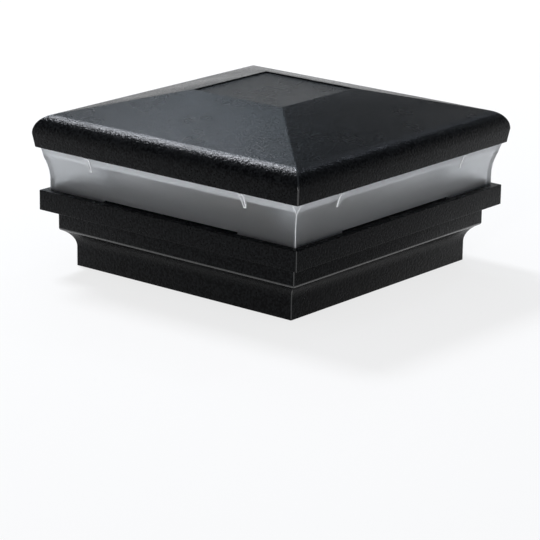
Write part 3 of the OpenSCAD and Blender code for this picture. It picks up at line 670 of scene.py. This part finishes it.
def joinCatches(lens):
    # the eight snap catches, each a tapered bar that follows the flare up to the cap
    radius, steps = catch["flareRadius"], catch["steps"]
    axis = Vector((0, -(catch["footHalf"] + radius), catch["flareFoot"])) * mm
    low, high = (math.asin((catch[end] - catch["flareFoot"]) / radius) for end in ("foot", "top"))
    outer, inner = radius - catch["out"], radius + catch["rooted"]
    start = axis + Vector((0, math.cos(low), math.sin(low))) * (outer + inner) / 2 * mm
    bpy.ops.object.select_all(action="DESELECT")
    bpy.ops.mesh.primitive_plane_add(size=1, location=start, rotation=(low, 0, 0))
    bar = bpy.context.object
    bar.scale = (catch["footWidth"] * mm, (inner - outer) * mm, 1)
    bpy.ops.object.transform_apply(location=True, rotation=True, scale=True)
    bar.data.materials.append(satin)
    bar.data.materials.append(paintedGlint)
    bpy.ops.object.mode_set(mode="EDIT")
    bpy.ops.mesh.select_all(action="SELECT")
    bpy.ops.mesh.spin(steps=steps, angle=low - high, center=axis, axis=(1, 0, 0))
    bpy.ops.mesh.select_all(action="SELECT")
    bpy.ops.mesh.remove_doubles(threshold=meshing["weld"] * mm)
    bpy.ops.mesh.normals_make_consistent(inside=False)
    # the whole bar first takes the white painted highlight
    bar.active_material_index = 1
    bpy.ops.object.material_slot_assign()
    # each ring of the bar is widened, the more the higher it is
    mesh = bmesh.from_edit_mesh(bar.data)
    bpy.ops.mesh.select_mode(type="VERT")
    for step in range(1, steps + 1):
        bpy.ops.mesh.select_all(action="DESELECT")
        for vert in mesh.verts:
            turned = math.atan2(vert.co.z - axis.z, vert.co.y - axis.y) - low
            vert.select_set(round(steps * turned / (high - low)) == step)
        mesh.select_flush_mode()
        wider = 1 + (catch["topWidth"] / catch["footWidth"] - 1) * step / steps
        bpy.ops.transform.resize(value=(wider, 1, 1), center_override=(0, 0, 0))
    bpy.ops.object.mode_set(mode="OBJECT")
    # its face is clear inside a white edge, which is a painted highlight
    pick(bar, "FACE", lambda f: f.normal.y < catch["faceLooks"])
    bpy.ops.mesh.inset(thickness=catch["paintedGlint"] * mm, use_even_offset=True)
    bar.active_material_index = 0
    bpy.ops.object.material_slot_assign()
    # spinning leaves its parts in an order that changes from run to run, so that they are sorted
    bpy.context.scene.cursor.location = Vector(catch["sortFrom"]) * mm
    bpy.ops.mesh.select_all(action="SELECT")
    bpy.ops.mesh.sort_elements(type="CURSOR_DISTANCE", elements={"VERT", "EDGE", "FACE"})
    bpy.ops.object.mode_set(mode="OBJECT")
    bars = [bar]
    for side, along in [(side, along) for side in range(4) for along in (-1, 1)][1:]:
        only(bar)
        bpy.ops.object.duplicate()
        bars.append(bpy.context.object)
        turn = side * math.pi / 2
        bars[-1].rotation_euler.z = turn
        bars[-1].location = Matrix.Rotation(turn, 3, "Z") @ Vector((along * catch["at"] * mm, 0, 0))
    bar.location.x = -catch["at"] * mm
    only(*bars)
    bpy.ops.object.transform_apply(location=True, rotation=True, scale=True)
    only(lens, *bars)
    bpy.ops.object.join()


lensForm = {
    "arris": 0.18,          # mm of rounding on the corner lines
    "corner": 8,            # mm in from the widest point that belongs to a corner
    "fold": 0.15,           # radians that a corner line turns at least
    "climb": 1.0,           # mm that it climbs at least
    "inside": -0.3,         # outward look below which a face is an inner one
}


def makeLens():
    low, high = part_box("lens")
    lens = mergedCopy("lens", "frostedLens", (satin, paintedGlint, frosted))
    cornerFrom = high.x - lensForm["corner"] * mm
    # the rounded corner lines take the white painted-highlight material
    bevelEdges(lens, lambda e: looksOut(e) and e.calc_face_angle(0) > lensForm["fold"]
               and min(min(abs(v.co.x), abs(v.co.y)) for v in e.verts) > cornerFrom
               and not isLevel(e, lensForm["climb"]), lensForm["arris"], segments=2)
    paintFaces(lens, lambda f: outward(f) < lensForm["inside"], 2)
    joinCatches(lens)
    finish(lens, "head", "lens")


makeCap()
makeSkirt()
makeLens()
print("housing made")


lightPackage = {
    "rim": 0.3,         # mm of white housing left round the phosphor
    "dish": 0.12,       # mm that the phosphor lies below the rim
}


def makeLightPackages():
    # the twelve packages, each with a shallow dish of phosphor in its outer face
    lights = mergedCopy("led_packages", "lightPackages", (lightHousing, phosphor))
    faceFrom = max(reach(v.co) for v in lights.data.vertices) - meshing["hair"] * mm
    pick(lights, "FACE", lambda f: min(reach(v.co) for v in f.verts) > faceFrom)
    bpy.ops.mesh.inset(thickness=lightPackage["rim"] * mm, use_individual=True)
    bpy.ops.transform.shrink_fatten(value=-lightPackage["dish"] * mm)
    lights.active_material_index = 1
    bpy.ops.object.material_slot_assign()
    bpy.ops.object.mode_set(mode="OBJECT")
    finish(lights, "skirt", "led_packages")


makeLightPackages()
slotOf = {row["node"]: row["material_slot"] for row in frame["record"]["subparts"]}
for nodeName, node in frame["nodes"].items():
    if slotOf[nodeName] in finishes:
        node.data.materials.clear()
        node.data.materials.append(finishes[slotOf[nodeName]])
print("fittings finished")
